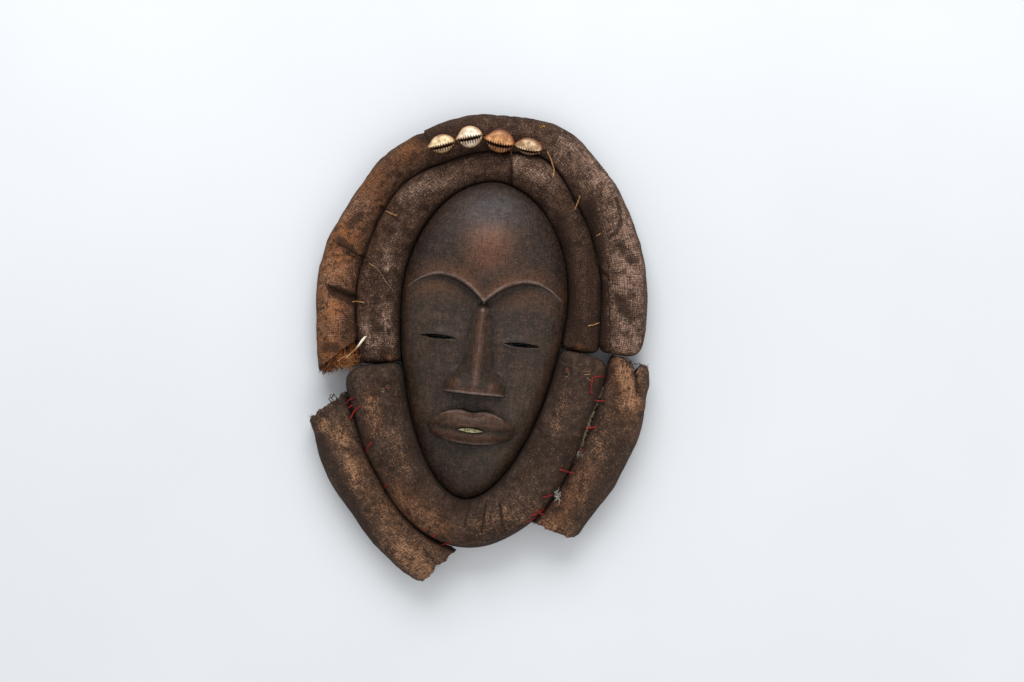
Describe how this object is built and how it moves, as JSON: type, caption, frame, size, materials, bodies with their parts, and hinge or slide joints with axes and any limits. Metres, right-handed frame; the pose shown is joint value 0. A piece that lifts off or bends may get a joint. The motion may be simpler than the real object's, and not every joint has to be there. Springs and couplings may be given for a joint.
{
  "type": "carved wooden face mask with stuffed cloth rolls",
  "caption": "Hollow carved wooden face mask framed by stuffed cloth rolls sewn side by side, with cowrie shells in a row over the forehead. Lies on its flat back rim or hangs.",
  "frame": {"origin": "under the middle of the whole mask, in the plane that the wooden rim and the rolls lie on", "axes": "+X to the right as the face is looked at, +Y up the face's midline from chin to crown, +Z out of the face"},
  "size_m": [0.254, 0.3534, 0.0626],
  "materials": {
    "carved_wood": "dark, worn, slight sheen",
    "mouth_packing": "matte, crumbly",
    "upper_cloth": "coarse weave, matte, stained",
    "lower_cloth": "finer weave, matte, stained",
    "straw": "matte dry stalks",
    "shell": "polished",
    "red_thread": "matte",
    "raffia": "matte",
    "rusty_iron": "rusted"
  },
  "bodies": {
    "root": {"carved_face": "carved_wood", "mouth_packing": "mouth_packing", "upper_inner_roll": "upper_cloth", "upper_outer_roll": "upper_cloth", "chin_roll": "lower_cloth", "lower_left_roll": "lower_cloth", "lower_right_roll": "lower_cloth", "straw_stuffing": "straw", "cowrie_shell_1": "shell", "cowrie_shell_2": "shell", "cowrie_shell_3": "shell", "cowrie_shell_4": "shell", "red_thread_left": "red_thread", "red_thread_right": "red_thread", "raffia_left": "raffia", "raffia_right": "raffia", "tack_left": "rusty_iron", "tack_right": "rusty_iron"}
  },
  "joints": []
}
